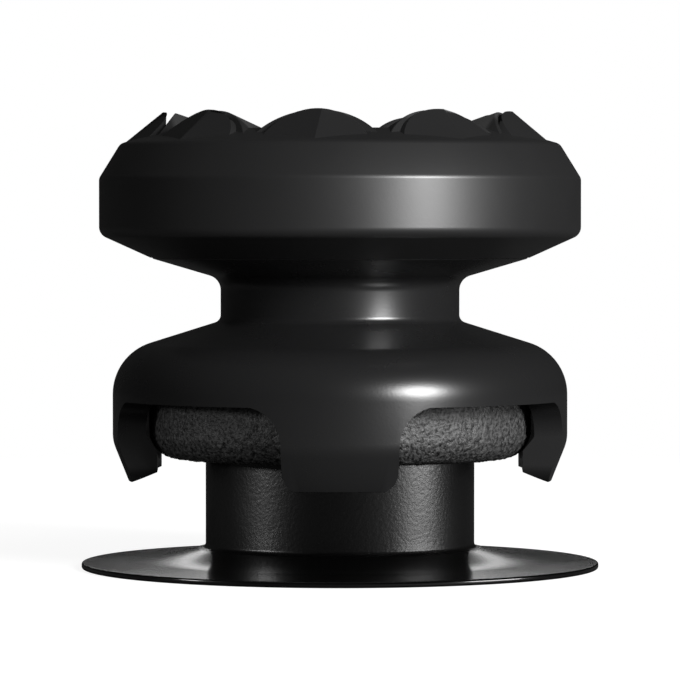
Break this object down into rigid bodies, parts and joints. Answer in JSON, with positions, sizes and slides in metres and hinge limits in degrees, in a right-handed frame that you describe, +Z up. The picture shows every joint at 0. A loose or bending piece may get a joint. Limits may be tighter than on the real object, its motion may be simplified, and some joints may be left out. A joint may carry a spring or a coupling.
{
  "type": "controller thumb grip",
  "caption": "Tall clip-on thumb grip with a toothed, dished tread, narrow neck and clawed bell, on an analogue stick with a round skirt.",
  "frame": {"origin": "centre of the stick skirt's foot ring, on the plane it stands on", "axes": "+Z up along the stick; two opposite claws lie on X and two on Y; -Y is the side seen in the picture"},
  "size_m": [0.0224, 0.0224, 0.0197],
  "materials": {
    "tread_rubber": "satin",
    "body_plastic": "satin",
    "head_rubber": "textured, matt",
    "stick_plastic": "semi-gloss"
  },
  "bodies": {
    "root": {"grip_tread": "tread_rubber", "grip_body": "body_plastic", "stick_head_cover": "head_rubber", "stick_post": "stick_plastic"}
  },
  "joints": []
}
